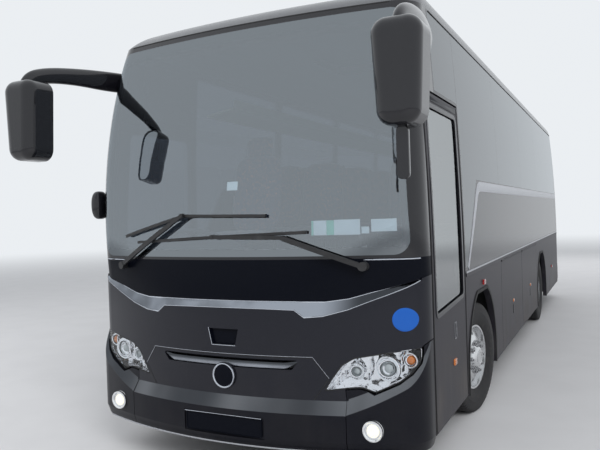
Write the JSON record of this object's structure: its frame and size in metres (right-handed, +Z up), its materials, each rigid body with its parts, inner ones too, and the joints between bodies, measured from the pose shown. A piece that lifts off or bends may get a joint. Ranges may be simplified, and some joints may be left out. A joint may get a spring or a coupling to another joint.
{
  "type": "coach bus",
  "caption": "Midi coach bus with a tall bowed windscreen, one front passenger door, dark flush side glazing, luggage flaps and twin rear wheels.",
  "frame": {"origin": "centre of the whole coach's footprint on the road, mirrors included", "axes": "+Z up; the front faces -Y; +X is the passenger door's side, the vehicle's left"},
  "size_m": [2.7736, 9.75, 3.285],
  "materials": {
    "paint": "gloss metallic",
    "black_gloss": "gloss",
    "black_plastic": "satin",
    "tinted_glass": "clear",
    "clear_glass": "clear",
    "lamp_red": "gloss",
    "lamp_chrome": "polished",
    "aluminium_trim": "satin",
    "rim_silver": "satin",
    "tyre_rubber": "matte",
    "seal_rubber": "matte",
    "chassis_paint": "satin",
    "floor_vinyl": "matte",
    "dash_plastic": "matte",
    "seat_fabric": "matte",
    "rack_plastic": "matte",
    "mirror_glass": "polished",
    "engine_metal": "rough"
  },
  "bodies": {
    "body": {"arch_lips": "seal_rubber", "belt_rails": "aluminium_trim", "chassis_frame": "chassis_paint", "corner_posts": "black_gloss", "dashboard": "dash_plastic", "driver_seat": "seat_fabric", "engine_block": "engine_metal", "entrance_steps": "floor_vinyl", "floor": "floor_vinyl", "fog_lamps": "clear_glass", "front_axle": "chassis_paint", "front_bumper": "paint", "front_mask": "paint", "grille_panel": "paint", "headlamp_bowls": "lamp_chrome", "headlamp_covers": "clear_glass", "luggage_bays": "black_plastic", "luggage_racks": "rack_plastic", "marker_lamps": "lamp_red", "mirror_arms": "black_plastic", "mirror_glasses": "mirror_glass", "mirror_heads": "black_gloss", "passenger_seats": "seat_fabric", "rear_axle": "chassis_paint", "rear_bumper": "paint", "rear_wall": "paint", "roof_panel": "paint", "roof_unit": "paint", "scuttle_panel": "black_gloss", "side_panels": "paint", "side_wall_left": "paint", "side_wall_right": "paint", "skirts": "paint", "tail_lamps": "lamp_red", "wheel_housings": "black_plastic", "windows": "tinted_glass", "windscreen": "clear_glass", "windscreen_frame": "black_plastic", "wipers": "black_plastic"},
    "knuckle_left": {"knuckle_left": "chassis_paint"},
    "knuckle_right": {"knuckle_right": "chassis_paint"},
    "wheel_front_left": {"tyre_front_left": "tyre_rubber", "rim_front_left": "rim_silver"},
    "wheel_front_right": {"tyre_front_right": "tyre_rubber", "rim_front_right": "rim_silver"},
    "wheels_rear_left": {"tyres_rear_left": "tyre_rubber", "rim_rear_left": "rim_silver"},
    "wheels_rear_right": {"tyres_rear_right": "tyre_rubber", "rim_rear_right": "rim_silver"},
    "door_arm": {"door_arm": "chassis_paint"},
    "door": {"passenger_door": "paint", "door_glass": "tinted_glass"},
    "steering_wheel": {"steering_wheel": "dash_plastic"},
    "engine_lid": {"engine_lid": "paint"},
    "roof_hatch_1": {"roof_hatch_1": "black_plastic"},
    "roof_hatch_2": {"roof_hatch_2": "black_plastic"},
    "luggage_flap_left_1": {"luggage_flap_left_1": "paint"},
    "luggage_flap_left_2": {"luggage_flap_left_2": "paint"},
    "luggage_flap_right_1": {"luggage_flap_right_1": "paint"},
    "luggage_flap_right_2": {"luggage_flap_right_2": "paint"}
  },
  "joints": [
    {"name": "knuckle_left_steer", "type": "hinge", "parent": "body", "child": "knuckle_left", "pos_m": [0.88, -2.545, 0.433], "axis": [0, 0, 1], "range_deg": [-29, 47]},
    {"name": "knuckle_right_steer", "type": "hinge", "parent": "body", "child": "knuckle_right", "pos_m": [-0.88, -2.545, 0.433], "axis": [0, 0, 1], "range_deg": [-29, 47]},
    {"name": "wheel_front_left_roll", "type": "hinge", "parent": "knuckle_left", "child": "wheel_front_left", "pos_m": [1.03161, -2.56901, 0.433], "axis": [0.9877, -0.1564, 0], "continuous": true},
    {"name": "wheel_front_right_roll", "type": "hinge", "parent": "knuckle_right", "child": "wheel_front_right", "pos_m": [-1.03161, -2.52099, 0.433], "axis": [0.9877, -0.1564, 0], "continuous": true},
    {"name": "wheels_rear_left_roll", "type": "hinge", "parent": "body", "child": "wheels_rear_left", "pos_m": [1.0335, 1.975, 0.433], "axis": [1, 0, 0], "continuous": true},
    {"name": "wheels_rear_right_roll", "type": "hinge", "parent": "body", "child": "wheels_rear_right", "pos_m": [-1.0335, 1.975, 0.433], "axis": [1, 0, 0], "continuous": true},
    {"name": "steering_wheel_turn", "type": "hinge", "parent": "body", "child": "steering_wheel", "pos_m": [-0.56, -3.825, 1.42], "axis": [0, 0.4695, 0.8829], "range_deg": [-464, 752]},
    {"name": "door_arm_swing", "type": "hinge", "parent": "body", "child": "door_arm", "pos_m": [1.03, -3.995, 1], "axis": [0, 0, -1], "range_deg": [0, 90]},
    {"name": "door_turn", "type": "hinge", "parent": "door_arm", "child": "door", "pos_m": [1.1004, -3.55054, 1], "axis": [0, 0, 1], "range_deg": [0, 90]},
    {"name": "engine_lid_hinge", "type": "hinge", "parent": "body", "child": "engine_lid", "pos_m": [0, 4.836, 1.489], "axis": [1, 0, 0], "range_deg": [0, 80]},
    {"name": "roof_hatch_1_hinge", "type": "hinge", "parent": "body", "child": "roof_hatch_1", "pos_m": [0, -2.355, 3.1103], "axis": [1, 0, 0], "range_deg": [0, 30]},
    {"name": "roof_hatch_2_hinge", "type": "hinge", "parent": "body", "child": "roof_hatch_2", "pos_m": [0, 2.965, 3.1103], "axis": [1, 0, 0], "range_deg": [0, 30]},
    {"name": "luggage_flap_left_1_hinge", "type": "hinge", "parent": "body", "child": "luggage_flap_left_1", "pos_m": [1.198, -0.85, 1.117], "axis": [0, -1, 0], "range_deg": [0, 88]},
    {"name": "luggage_flap_left_2_hinge", "type": "hinge", "parent": "body", "child": "luggage_flap_left_2", "pos_m": [1.198, 0.6, 1.117], "axis": [0, -1, 0], "range_deg": [0, 88]},
    {"name": "luggage_flap_right_1_hinge", "type": "hinge", "parent": "body", "child": "luggage_flap_right_1", "pos_m": [-1.198, -0.85, 1.117], "axis": [0, 1, 0], "range_deg": [0, 88]},
    {"name": "luggage_flap_right_2_hinge", "type": "hinge", "parent": "body", "child": "luggage_flap_right_2", "pos_m": [-1.198, 0.6, 1.117], "axis": [0, 1, 0], "range_deg": [0, 88]}
  ],
  "couplings": [
    {"joint": "knuckle_right_steer", "follows": "knuckle_left_steer", "ratio": 1},
    {"joint": "steering_wheel_turn", "follows": "knuckle_left_steer", "ratio": 16},
    {"joint": "door_turn", "follows": "door_arm_swing", "ratio": 1}
  ]
}
